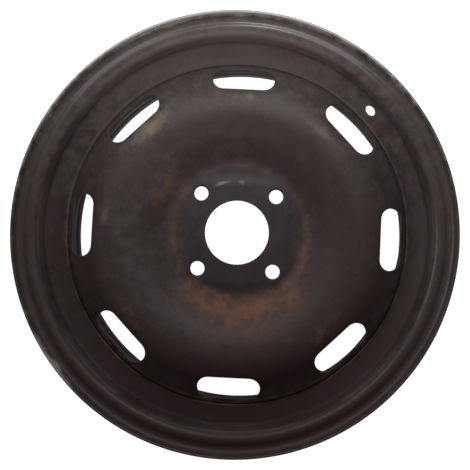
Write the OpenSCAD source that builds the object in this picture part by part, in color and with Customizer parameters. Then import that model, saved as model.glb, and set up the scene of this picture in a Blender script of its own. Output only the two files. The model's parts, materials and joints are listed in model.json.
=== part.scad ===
// Pressed steel road wheel: a rolled drop-centre rim, a pressed disc and the welds that join them.
// Millimetres. Z is the wheel axis, +Z faces outboard, and z = 0 is the face that seats on the hub.

/* [Rim] */
// Diameter on which the tyre beads seat
bead_diameter = 380.2; // [370:0.1:406]
// Width between the two flanges, on the tyre side
rim_width = 152.4; // [140:0.1:178]
// Distance from the rim's centre line out to the hub face
inset = 23; // [15:0.5:30]
// Thickness of the rim strip
rim_sheet = 2.6; // [2:0.1:3]
// Height of a flange above the bead seat
flange_height = 17.3; // [16.5:0.1:19]
// Reach of a flange beyond its wall, along the axis
flange_reach = 12; // [10.5:0.1:14]
// Curl radius of a flange, on the tyre side
curl_radius = 9.5; // [8:0.1:10]
// Heel radius between flange and bead seat, on the tyre side
heel_radius = 6.5; // [5.5:0.1:7]
// Lean of the flange wall away from the outside, in degrees
flange_lean = 10; // [0:1:14]
// Taper of the bead seats, in degrees
seat_taper = 5; // [3:0.5:6]
// Width of a bead seat, from the flange wall to the foot of the hump
seat_width = 17; // [15:0.5:19]
// Distance from the flange wall to the hump's crest
hump_reach = 23.5; // [22:0.5:26]
// Height of the hump above the foot of the seat
hump_height = 1.4; // [0.8:0.1:2]
// Depth of the well below the bead seat diameter
well_depth = 17.3; // [17.3:0.1:21]
// Distance from the outboard flange wall to the well
well_reach = 45.2; // [42:0.2:50]
// Width of the well's floor, corner to corner
well_width = 24; // [23:0.5:32]

/* [Valve hole] */
// Diameter of the hole for the snap-in valve
valve_hole_d = 11.3; // [8.3:0.1:12]
// Direction of the valve hole round the axis, in degrees
valve_angle = 45; // [0:1:359]

/* [Disc nave] */
// Thickness of the disc sheet
disc_sheet = 4; // [3:0.1:4.5]
// Diameter of the hole that centres the wheel on the hub
bore_d = 65.1; // [54:0.1:70]
// Edge break of the centre hole
bore_break = 0.6; // [0.2:0.1:1]
// Number of wheel bolts
bolt_count = 4; // [3:1:5]
// Diameter of the bolt circle
bolt_circle_d = 108; // [104:0.1:110]
// Diameter of each bolt hole
bolt_hole_d = 14.5; // [12:0.1:15]
// Depth of the conical bolt seat
bolt_seat_depth = 1.4; // [0.5:0.1:2]
// Half angle of the conical bolt seat, in degrees
bolt_seat_angle = 30; // [30:1:45]
// Width of the raised centre plateau outside the bolt circle
plateau_margin = 8.5; // [8.2:0.1:10]
// Distance of the plateau's flats inside the bolt circle, between the bolts
flat_inset = 4; // [2:0.5:6]
// Rise of the plateau above the ring that bears on the hub
plateau_rise = 1.7; // [1:0.1:2.4]
// Slope of the plateau's flats, in degrees
flat_slope = 12; // [10:1:18]
// Slope of the plateau's round edge, in degrees
plateau_slope = 30; // [24:1:45]
// Width of the ring that bears on the hub, from the plateau to the foot of the bowl
land_width = 11.5; // [10:0.5:13]

/* [Disc crown] */
// Distance from the disc's edge in to the ridge line of the crown
crown_inset = 52.5; // [48:0.5:56]
// Bend radius over the crown
crown_radius = 50; // [36:1:56]
// Fall of the crown towards the disc's edge, in degrees
crown_fall = 26.6; // [24:0.2:29]
// Bend radius at the foot of the bowl
bowl_radius = 14; // [12:1:18]
// Bend radius at the disc's edge, mid-sheet
edge_radius = 6; // [4.5:0.5:7]
// Height of the disc's edge above the start of the well
edge_stand = 4.1; // [3:0.1:6]
// Length of the skirt below the start of the well
skirt_length = 16; // [12:0.5:18]
// Gap left by the press fit of the skirt in the well
press_gap = 0.05; // [0.02:0.01:0.1]

/* [Slots] */
// Number of ventilation slots
slot_count = 8; // [6:1:10]
// Length of a slot along the edge
slot_length = 62; // [45:1:66]
// Width of a slot, seen along the axis
slot_width = 22.4; // [14:0.2:23]
// Distance from the disc's edge to a slot
slot_inset = 5.6; // [5:0.1:9]
// Tilt of the flat pressed round each slot, in degrees
facet_tilt = 30; // [27:0.5:33]
// Depth of that flat below the crown, at the slot's middle
facet_sink = 1.9; // [0.8:0.1:2.4]
// Height of the arch that clears the skirt behind each slot
arch_height = 9; // [5:0.5:11]
// Half the angle that an arch takes up, in degrees
arch_half_angle = 14; // [12:0.5:16]

/* [Welds] */
// Leg of the fillet welds between skirt and well
weld_leg = 3.2; // [2.2:0.1:3.4]
// Half the angle that a weld takes up, in degrees
weld_half_angle = 6.5; // [4:0.5:7.5]

/* [Hidden] */
$fn = 96;
steel = [0.20, 0.175, 0.17];
weld_steel = [0.24, 0.20, 0.18];
// Largest turn of one chord on a bend, in degrees
bend_step = 9;
// Bend radii of the rim strip, mid-sheet
hump_bend = 9;
toe_bend = 12;
well_bend = 9;
ramp_bend = 16;
// Overrun of cutting shapes past what they cut
cut_over = 5;

bead_r = bead_diameter / 2;
tip_r = bead_r + flange_height;
well_r = bead_r - well_depth;
half_rim = rim_sheet / 2;
half_disc = disc_sheet / 2;
wall_out_z = rim_width / 2 - inset;
wall_in_z = -rim_width / 2 - inset;
well_z = wall_out_z - well_reach;
seat_drop = seat_width * tan(seat_taper);
// The flange wall leans about the middle of its height
lean_run = flange_height / 2 * tan(flange_lean);
skirt_r = well_r - rim_sheet - press_gap;
edge_z = well_z + edge_stand;
skirt_z = well_z - skirt_length;
crown_r = skirt_r - crown_inset;
crown_z = edge_z + (crown_inset - half_disc) * tan(crown_fall);
slot_r = skirt_r - slot_inset - slot_width / 2;
plateau_z = plateau_rise + disc_sheet;
plateau_radius = bolt_circle_d / 2 + plateau_margin;
plateau_flat = bolt_circle_d / 2 - flat_inset;
land_radius = plateau_radius + land_width;
// Place of the valve hole on its slope, as a share of the way down
valve_share = 0.46;

// Unit vector along v
function unit(v) = v / norm(v);
// Left-hand normal of the leg from a to b
function leg_normal(a, b) = let (d = unit(b - a)) [-d.y, d.x];
// Plan position of a route's vertex, which is [r, z, bend radius]
function spot(v) = [v[0], v[1]];
// Turn at corner b: +1 to the left, -1 to the right
function turn(a, b, c) = sign((b - a).x * (c - b).y - (b - a).y * (c - b).x);
// Points on an arc
function arc(centre, r, from, sweep) =
    let (n = max(1, ceil(abs(sweep) / bend_step)))
    [for (i = [0 : n]) centre + r * [cos(from + sweep * i / n), sin(from + sweep * i / n)]];
// Arc that rounds corner b, tangent to both legs
function bend(a, b, c, r) =
    let (to_a = unit(a - b),
         to_c = unit(c - b),
         half = acos(to_a * to_c) / 2,
         centre = b + unit(to_a + to_c) * r / sin(half),
         start = b + to_a * r / tan(half) - centre)
    arc(centre, r, atan2(start.y, start.x), turn(a, b, c) * (180 - 2 * half));
// Points along a route, with each corner rounded by its own bend radius
function points(v) =
    let (last = len(v) - 1)
    [spot(v[0]),
     for (i = [1 : last - 1]) each bend(spot(v[i - 1]), spot(v[i]), spot(v[i + 1]), v[i][2]),
     spot(v[last])];
// The route moved sideways by d, to the left of its run, with its bends kept concentric
function beside(v, d) =
    let (last = len(v) - 1)
    [for (i = [0 : last])
        let (a = leg_normal(spot(v[max(i - 1, 0)]), spot(v[max(i, 1)])),
             b = leg_normal(spot(v[min(i, last - 1)]), spot(v[min(i + 1, last)])),
             p = spot(v[i]) + (a + b) * d / (1 + a * b),
             way = (i == 0 || i == last) ? 0 : turn(spot(v[i - 1]), spot(v[i]), spot(v[i + 1])))
        [p.x, p.y, v[i][2] - way * d]];
// The points in the opposite order
function backwards(p) = [for (i = [len(p) - 1 : -1 : 0]) p[i]];

// One flange and bead seat, mid-strip, from the flange's tip to the hump.
// side is +1 outboard and -1 inboard, and wall_z is where the flange wall stands.
function flange_route(wall_z, side) = [
    [tip_r - half_rim, wall_z + side * (flange_reach - half_rim), 0],
    [tip_r - half_rim, wall_z + side * (half_rim - lean_run), curl_radius - half_rim],
    [bead_r - half_rim, wall_z + side * (half_rim + lean_run), heel_radius + half_rim],
    [bead_r - half_rim - seat_drop, wall_z - side * seat_width, toe_bend],
    [bead_r - half_rim - seat_drop + hump_height, wall_z - side * hump_reach, hump_bend]];

// The whole strip, mid-sheet, from the outboard tip to the inboard tip
rim_route = concat(
    flange_route(wall_out_z, 1),
    [[well_r - half_rim, well_z, well_bend],
     [well_r - half_rim, well_z - well_width, ramp_bend]],
    backwards(flange_route(wall_in_z, -1)));

// The disc from its axis to the skirt's lower edge, mid-sheet
disc_route = [
    [0, half_disc, 0],
    [land_radius, half_disc, bowl_radius],
    [crown_r, crown_z, crown_radius],
    [skirt_r - half_disc, edge_z, edge_radius],
    [skirt_r - half_disc, skirt_z, 0]];

// Valve hole on the slope between the outboard hump and the well
slope_top = spot(rim_route[4]);
slope_foot = spot(rim_route[5]);
valve_spot = slope_top + (slope_foot - slope_top) * valve_share;
valve_lean = atan2(slope_top.y - slope_foot.y, slope_top.x - slope_foot.x);

// The rolled strip: its two sides joined by full-round edges
module rim_strip() {
    tip_out = spot(rim_route[0]);
    tip_in = spot(rim_route[len(rim_route) - 1]);
    rotate_extrude($fn = 180)
        polygon(concat(
            points(beside(rim_route, half_rim)),
            arc(tip_in, half_rim, 0, -180),
            backwards(points(beside(rim_route, -half_rim))),
            arc(tip_out, half_rim, 180, -180)));
}

// The drill for the valve hole, square to the slope that it goes through
module valve_drill() {
    rotate([0, 0, valve_angle])
        translate([valve_spot.x, 0, valve_spot.y])
            rotate([0, 180 - valve_lean, 0])
                cylinder(h = 2 * (rim_sheet + cut_over), d = valve_hole_d, center = true);
}

module rim() {
    color(steel)
        difference() {
            rim_strip();
            valve_drill();
        }
}

// Half-spaces that press the flats round the slots, sunk by the given depth below the outer face
module slot_facets(below) {
    face = [slot_r, crown_z - (slot_r - crown_r) * tan(crown_fall) + half_disc / cos(crown_fall)];
    for (i = [0 : slot_count - 1])
        rotate([0, 0, i * 360 / slot_count])
            translate([face.x, 0, face.y - facet_sink])
                rotate([0, facet_tilt, 0])
                    translate([-crown_inset, -slot_length, -below])
                        cube([2 * crown_inset, 2 * slot_length, crown_inset]);
}

// The raised plateau: a low cone with a sloping flat between each two bolts, from floor_z up to top_z
module plateau(top_z, floor_z) {
    rise = top_z - floor_z;
    difference() {
        translate([0, 0, floor_z])
            cylinder(h = rise, r1 = plateau_radius + rise / tan(plateau_slope), r2 = plateau_radius);
        for (i = [0 : bolt_count - 1])
            rotate([0, 0, i * 360 / bolt_count])
                translate([plateau_flat, 0, top_z])
                    rotate([0, flat_slope, 0])
                        translate([-plateau_flat / 2, -plateau_radius, 0])
                            cube([2 * plateau_radius, 2 * plateau_radius, plateau_radius]);
    }
}

// Everything under one face of the disc, down to floor_z: side is +1 for the outer face, -1 for the inner
module disc_face(side, floor_z, below) {
    face = points(beside(disc_route, side * half_disc));
    difference() {
        rotate_extrude($fn = 180)
            polygon(concat(
                [[0, floor_z]],
                [for (i = [0 : len(face) - 2]) face[i]],
                [[face[len(face) - 1].x, floor_z]]));
        slot_facets(below);
    }
    plateau(plateau_z - below, half_disc - below);
}

// One slot, punched along the axis
module slot_punch() {
    straight = slot_length - slot_width;
    translate([slot_r, 0, 0])
        linear_extrude(height = crown_z + cut_over)
            union() {
                square([slot_width, straight], center = true);
                for (way = [-1, 1])
                    translate([0, way * straight / 2])
                        circle(d = slot_width, $fn = 64);
            }
}

// Arch that clears the skirt behind a slot: a radial cylinder through the arch's crown and its feet
module skirt_arch() {
    half_span = skirt_r * sin(arch_half_angle);
    arch_r = (half_span * half_span + arch_height * arch_height) / (2 * arch_height);
    translate([skirt_r - disc_sheet - cut_over, 0, skirt_z + arch_height - arch_r])
        rotate([0, 90, 0])
            cylinder(h = disc_sheet + 2 * cut_over, r = arch_r, $fn = 180);
}

// One bolt hole with its conical seat
module bolt_drill() {
    flare = bolt_seat_depth * tan(bolt_seat_angle);
    translate([bolt_circle_d / 2, 0, 0]) {
        translate([0, 0, -cut_over])
            cylinder(h = plateau_z + 2 * cut_over, d = bolt_hole_d);
        translate([0, 0, plateau_z - bolt_seat_depth])
            cylinder(h = bolt_seat_depth, d1 = bolt_hole_d, d2 = bolt_hole_d + 2 * flare);
    }
}

// The hole that centres the wheel, with its broken outer edge
module bore_drill() {
    translate([0, 0, -cut_over])
        cylinder(h = plateau_z + 2 * cut_over, d = bore_d);
    translate([0, 0, plateau_z - bore_break])
        cylinder(h = bore_break, d1 = bore_d, d2 = bore_d + 2 * bore_break);
}

module disc() {
    color(steel)
        difference() {
            disc_face(1, skirt_z, 0);
            disc_face(-1, skirt_z - cut_over, disc_sheet);
            bore_drill();
            for (i = [0 : bolt_count - 1])
                rotate([0, 0, (i + 0.5) * 360 / bolt_count])
                    bolt_drill();
            for (i = [0 : slot_count - 1])
                rotate([0, 0, i * 360 / slot_count]) {
                    slot_punch();
                    skirt_arch();
                }
        }
}

// Fillet weld: a rounded bead in the corner between the skirt's end and the well
module weld_bead() {
    corner = [skirt_r + press_gap / 2, skirt_z - press_gap / 2];
    rotate([0, 0, -weld_half_angle])
        rotate_extrude(angle = 2 * weld_half_angle, $fn = 180)
            polygon(concat([corner], arc(corner, weld_leg, 180, 90)));
}

module welds() {
    color(weld_steel)
        for (i = [0 : slot_count - 1])
            rotate([0, 0, (i + 0.5) * 360 / slot_count])
                weld_bead();
}

rim();
disc();
welds();
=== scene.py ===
"""Visual model of a pressed steel road wheel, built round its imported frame.

The rim and the disc are drawn again as fine smooth sheets from the same few sizes as the solids,
and the welds as rippled beads. Sizes are millimetres in the wheel's own frame: Z is the wheel axis,
+Z faces outboard, and z = 0 is the face that seats on the hub.
"""
from __future__ import annotations

import json
import logging
import math
from dataclasses import dataclass
from enum import Enum
from typing import Any, Iterable

import bmesh
import bpy
import numpy as np
from mathutils import Matrix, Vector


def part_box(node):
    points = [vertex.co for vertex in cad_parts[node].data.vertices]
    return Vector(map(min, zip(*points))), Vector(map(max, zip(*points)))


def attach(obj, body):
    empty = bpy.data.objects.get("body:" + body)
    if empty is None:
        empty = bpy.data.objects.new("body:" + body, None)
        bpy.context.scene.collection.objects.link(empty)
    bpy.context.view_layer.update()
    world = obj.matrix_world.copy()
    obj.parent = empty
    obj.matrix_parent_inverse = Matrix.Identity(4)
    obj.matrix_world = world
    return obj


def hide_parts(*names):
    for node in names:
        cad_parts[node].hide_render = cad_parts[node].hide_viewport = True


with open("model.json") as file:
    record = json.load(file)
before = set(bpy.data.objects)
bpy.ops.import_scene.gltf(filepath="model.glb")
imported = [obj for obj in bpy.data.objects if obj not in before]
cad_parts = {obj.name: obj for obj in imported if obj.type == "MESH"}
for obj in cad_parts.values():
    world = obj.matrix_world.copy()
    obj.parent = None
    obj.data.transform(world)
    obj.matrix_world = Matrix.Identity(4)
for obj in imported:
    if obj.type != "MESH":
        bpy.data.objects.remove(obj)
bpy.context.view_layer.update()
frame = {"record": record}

Array = np.ndarray
Colour = tuple[float, float, float]
Span = tuple[float, float]
Piece = bpy.types.Object
Socket = bpy.types.NodeSocket

MM = 0.001
IMAGE_PX = 470
SENSOR_MM = 36.0
JOIN_DISTANCE_M = 2e-6

# Zones round the axis, as the photograph shows them: direction and spread in degrees.
# The upper side takes painted light on the rim, and the lower side painted shade and some painted light; the
# chipped side is where the flange's edge is chipped.
UPPER_SIDE = (100.0, 70.0)
LOWER_SIDE = (-90.0, 72.0)
CHIPPED_SIDE = (-141.0, 9.0)
DARK_SLOTS = (-74.0, 34.0)
DISC_TOP = (90.0, 60.0)

# How sharply a mask changes where a face turns from one side to another.
FACE_SHARPNESS = 4.0

log = logging.getLogger("wheel")


class Side(Enum):
    """The two faces of the disc's sheet."""

    FRONT = 1
    BACK = -1


# Helpers for curves and surfaces


def unit(v: Array) -> Array:
    """Vectors of length one along the last axis."""
    return v / np.linalg.norm(v, axis=-1, keepdims=True)


def clamp(values: Array) -> Array:
    """Values held between 0 and 1."""
    return np.clip(values, 0.0, 1.0)


def soft_min(a: Array, b: Array, blend: float) -> Array:
    """The smaller of two heights, with the crease between them rounded over the blend height.

    Args:
        a: First height field.
        b: Second height field.
        blend: Height difference over which the two run into each other.

    Returns:
        The blended height: b + (a - b) h - blend h (1 - h), with h running from 0 to 1.
    """
    h = clamp(0.5 + 0.5 * (b - a) / blend)
    return b + (a - b) * h - blend * h * (1.0 - h)


def soft_max(a: Array, b: Array, blend: float) -> Array:
    """The larger of two heights, with a rounded crease."""
    return -soft_min(-a, -b, blend)


def bell(distance: Array, width: float) -> Array:
    """A bell curve that is 1 at distance 0 and fades over the width."""
    return np.exp(-((distance / width) ** 2))


def angle_between(a: Array, b: float) -> Array:
    """Signed difference of two directions in radians, from -pi to pi."""
    return (a - b + math.pi) % (2.0 * math.pi) - math.pi


def towards(angle: Array, direction_deg: float, spread_deg: float) -> Array:
    """A bell curve round the axis, 1 in the given direction and fading over the spread."""
    return bell(angle_between(angle, math.radians(direction_deg)), math.radians(spread_deg))


def corner_arc(a: Array, b: Array, c: Array, radius: float, step: float) -> Array:
    """Arc that rounds corner b of the run a, b, c, tangent to both legs.

    Args:
        a: Point before the corner.
        b: The corner.
        c: Point after the corner.
        radius: Bend radius.
        step: Largest turn between two points, in radians.

    Returns:
        Points on the arc, first to last.
    """
    to_a, to_c = unit(a - b), unit(c - b)
    half = math.acos(float(np.clip(to_a @ to_c, -1.0, 1.0))) / 2.0
    centre = b + unit(to_a + to_c) * radius / math.sin(half)
    start = b + to_a * radius / math.tan(half) - centre
    cross = (b - a)[0] * (c - b)[1] - (b - a)[1] * (c - b)[0]
    sweep = math.copysign(math.pi - 2.0 * half, cross)
    count = max(2, math.ceil(abs(sweep) / step) + 1)
    turn = math.atan2(start[1], start[0]) + np.linspace(0.0, sweep, count)
    return centre + radius * np.stack((np.cos(turn), np.sin(turn)), axis=-1)


def beside(route: Array, offset: float) -> Array:
    """A route moved sideways to the left of its run, with its bends kept concentric.

    Args:
        route: Rows of r, z and bend radius.
        offset: Sideways distance.

    Returns:
        The moved route: each corner goes along its mitre, and each radius grows or shrinks.
    """
    spots = route[:, :2]
    along = unit(np.diff(spots, axis=0))
    normal = np.stack((-along[:, 1], along[:, 0]), axis=-1)
    before, after = np.vstack((normal[:1], normal)), np.vstack((normal, normal[-1:]))
    mitre = (before + after) / (1.0 + np.sum(before * after, axis=-1, keepdims=True))
    way = np.sign(along[:-1, 0] * along[1:, 1] - along[:-1, 1] * along[1:, 0])
    radius = route[:, 2] - offset * np.concatenate(([0.0], way, [0.0]))
    return np.column_stack((spots + mitre * offset, radius))


def trace(
    route: Array, step: float, leg: float, counts: dict[int, int] | None = None
) -> tuple[Array, list[slice]]:
    """Points along a route with rounded corners.

    Args:
        route: Rows of r, z and bend radius.
        step: Largest turn between two points on a bend, in radians.
        leg: Longest straight piece between two points.
        counts: Number of pieces for the straight legs that need a set one, by leg number.

    Returns:
        The points, and for each leg the slice of points on its straight part.
    """
    spots = route[:, :2]
    arcs = [spots[:1]]
    arcs += [corner_arc(*spots[i - 1 : i + 2], route[i, 2], step) for i in range(1, len(spots) - 1)]
    arcs += [spots[-1:]]
    pieces, legs, total = [], [], 0
    for number, (here, there) in enumerate(zip(arcs[:-1], arcs[1:])):
        length = float(np.linalg.norm(there[0] - here[-1]))
        pieces_on_leg = (counts or {}).get(number, max(1, math.ceil(length / leg)))
        pieces += [here, np.linspace(here[-1], there[0], pieces_on_leg + 1)[1:-1]]
        first = total + len(here) - 1
        legs.append(slice(first, first + pieces_on_leg + 1))
        total += len(here) + pieces_on_leg - 1
    return np.vstack(pieces + [arcs[-1]]), legs


def revolved(profile: Array, angles: Array) -> Array:
    """A profile of r, z points carried round the axis: the grid (r cos a, r sin a, z)."""
    r, z = profile[:, :1], profile[:, 1:]
    return np.stack((r * np.cos(angles), r * np.sin(angles), z + 0.0 * angles), axis=-1)


def full_turn(count: int) -> Array:
    """Evenly spaced directions round the axis, in radians."""
    return np.arange(count) * (2.0 * math.pi / count)


def within_sector(x: Array, y: Array, count: int) -> Array:
    """Direction from the middle of the nearest of count equal sectors, the first one along x."""
    sector = 2.0 * math.pi / count
    return (np.arctan2(y, x) + sector / 2.0) % sector - sector / 2.0


def frame_loop(rows: Array, columns: Array) -> Array:
    """The border of a block of a grid, once round, as pairs of a row value and a column value.

    Args:
        rows: Row values of the block, both ends included.
        columns: Column values of the block, both ends included.

    Returns:
        One pair for each border point.
    """
    sides = (
        (np.full(len(columns) - 1, rows[0]), columns[:-1]),
        (rows[:-1], np.full(len(rows) - 1, columns[-1])),
        (np.full(len(columns) - 1, rows[-1]), columns[:0:-1]),
        (rows[:0:-1], np.full(len(rows) - 1, columns[0])),
    )
    return np.vstack([np.column_stack(side) for side in sides])


class Quilt:
    """Collects grids of points in millimetres and joins them to one closed mesh."""

    def __init__(self) -> None:
        """Starts with nothing in it."""
        self.points: list[Array] = []
        self.quads: list[Array] = []
        self.count = 0

    def add(self, grid: Array, closed: bool = False, keep: Array | None = None) -> None:
        """Adds one grid.

        Args:
            grid: Points, rows by columns by 3.
            closed: Whether the last column joins the first.
            keep: Mask of the cells that are kept, rows by columns.
        """
        rows, columns = grid.shape[:2]
        index = np.arange(rows * columns).reshape(rows, columns) + self.count
        if closed:
            index = np.hstack((index, index[:, :1]))
        quads = np.stack((index[:-1, :-1], index[:-1, 1:], index[1:, 1:], index[1:, :-1]), axis=-1)
        self.quads.append(quads.reshape(-1, 4) if keep is None else quads[keep])
        self.points.append(grid.reshape(-1, 3))
        self.count += rows * columns

    def make(self, name: str, sharp_deg: float) -> Piece:
        """Joins the grids where they meet and links the piece to the scene.

        Args:
            name: Name of the piece.
            sharp_deg: Angle past which an edge stays sharp.

        Returns:
            The new object, at the origin, in metres.
        """
        mesh = bpy.data.meshes.new(name)
        mesh.from_pydata(np.vstack(self.points) * MM, [], np.vstack(self.quads))
        work = bmesh.new()
        work.from_mesh(mesh)
        bmesh.ops.remove_doubles(work, verts=work.verts, dist=JOIN_DISTANCE_M)
        bmesh.ops.delete(work, geom=[v for v in work.verts if not v.link_faces], context="VERTS")
        bmesh.ops.recalc_face_normals(work, faces=work.faces)
        work.to_mesh(mesh)
        work.free()
        mesh.shade_smooth()
        mesh.set_sharp_from_angle(angle=math.radians(sharp_deg))
        piece = bpy.data.objects.new(name, mesh)
        bpy.context.scene.collection.objects.link(piece)
        return piece


def mesh_points(piece: Piece) -> Array:
    """Reads a piece's vertices.

    Args:
        piece: A piece in metres, at the origin.

    Returns:
        The vertices in millimetres, one row each.
    """
    values = np.empty(len(piece.data.vertices) * 3, np.float32)
    piece.data.vertices.foreach_get("co", values)
    return values.reshape(-1, 3).astype(float) / MM


def mesh_normals(piece: Piece) -> Array:
    """Reads a piece's vertex normals.

    Args:
        piece: Any piece.

    Returns:
        The normals, one row each.
    """
    flat = np.empty(len(piece.data.vertices) * 3)
    piece.data.vertices.foreach_get("normal", flat)
    return flat.reshape(-1, 3)


def around(distance: Array, place: float, width: float) -> Array:
    """A bell curve that is 1 at a place and fades over the width."""
    return bell(distance - place, width)


def rising(distance: Array, start: float, width: float) -> Array:
    """A straight rise from 0 at the start to 1 over the width."""
    return clamp((distance - start) / width)


def outward_share(piece: Piece, angle: Array) -> Array:
    """How far the vertex normals point away from the axis, from -1 to 1, at vertices in these directions."""
    across, along, _ = mesh_normals(piece).T
    return across * np.cos(angle) + along * np.sin(angle)


def paint_masks(piece: Piece, **masks: Array) -> None:
    """Stores masks on a piece's vertices, for its material to read by their names.

    Args:
        piece: The piece.
        masks: One value a vertex for each mask, held between 0 and 1.
    """
    for name, values in masks.items():
        mask = piece.data.attributes.new(name, "FLOAT", "POINT")
        mask.data.foreach_set("value", clamp(values).astype(np.float32))


# Finishes


class Nodes:
    """Writes a material's node tree, one node a call."""

    def __init__(self, name: str) -> None:
        """Makes an empty node material.

        Args:
            name: Name of the material.
        """
        self.material = bpy.data.materials.new(name)
        self.material.use_nodes = True
        self.tree = self.material.node_tree
        self.tree.nodes.clear()

    def put(self, kind: str, inputs: dict[Any, Any] | None = None, **settings: Any) -> bpy.types.Node:
        """Adds one node.

        Args:
            kind: Node type, without its ShaderNode prefix.
            inputs: Sockets to link or values to set, by input name or number.
            settings: Properties of the node.

        Returns:
            The new node.
        """
        node = self.tree.nodes.new("ShaderNode" + kind)
        for key, value in settings.items():
            setattr(node, key, value)
        for key, value in (inputs or {}).items():
            if isinstance(value, Socket):
                self.tree.links.new(value, node.inputs[key])
            else:
                node.inputs[key].default_value = value
        return node

    def noise(self, place: Socket, scale: float, detail: float, rough: float) -> Socket:
        """A cloud pattern of the given scale, in waves to the metre."""
        inputs = {"Vector": place, "Scale": scale, "Detail": detail, "Roughness": rough}
        return self.put("TexNoise", inputs).outputs[0]

    def math(self, operation: str, a: Any, b: Any) -> Socket:
        """One sum on two numbers or sockets."""
        return self.put("Math", {0: a, 1: b}, operation=operation).outputs[0]

    def ramp(self, value: Socket, low: float, high: float, to: Span = (0.0, 1.0)) -> Socket:
        """A smooth step of a value from low to high, onto the range given by to."""
        inputs = {0: value, 1: low, 2: high, 3: to[0], 4: to[1]}
        return self.put("MapRange", inputs, interpolation_type="SMOOTHSTEP").outputs[0]

    def mix(self, share: Any, a: Any, b: Any) -> Socket:
        """Colour a turning into colour b as share goes from 0 to 1."""
        tinted = [(*c, 1.0) if isinstance(c, tuple) else c for c in (a, b)]
        return self.put("Mix", {0: share, 6: tinted[0], 7: tinted[1]}, data_type="RGBA").outputs[2]

    def mask(self, name: str) -> Socket:
        """A mask that the piece carries on its vertices."""
        return self.put("Attribute", attribute_name=name).outputs["Fac"]


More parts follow.
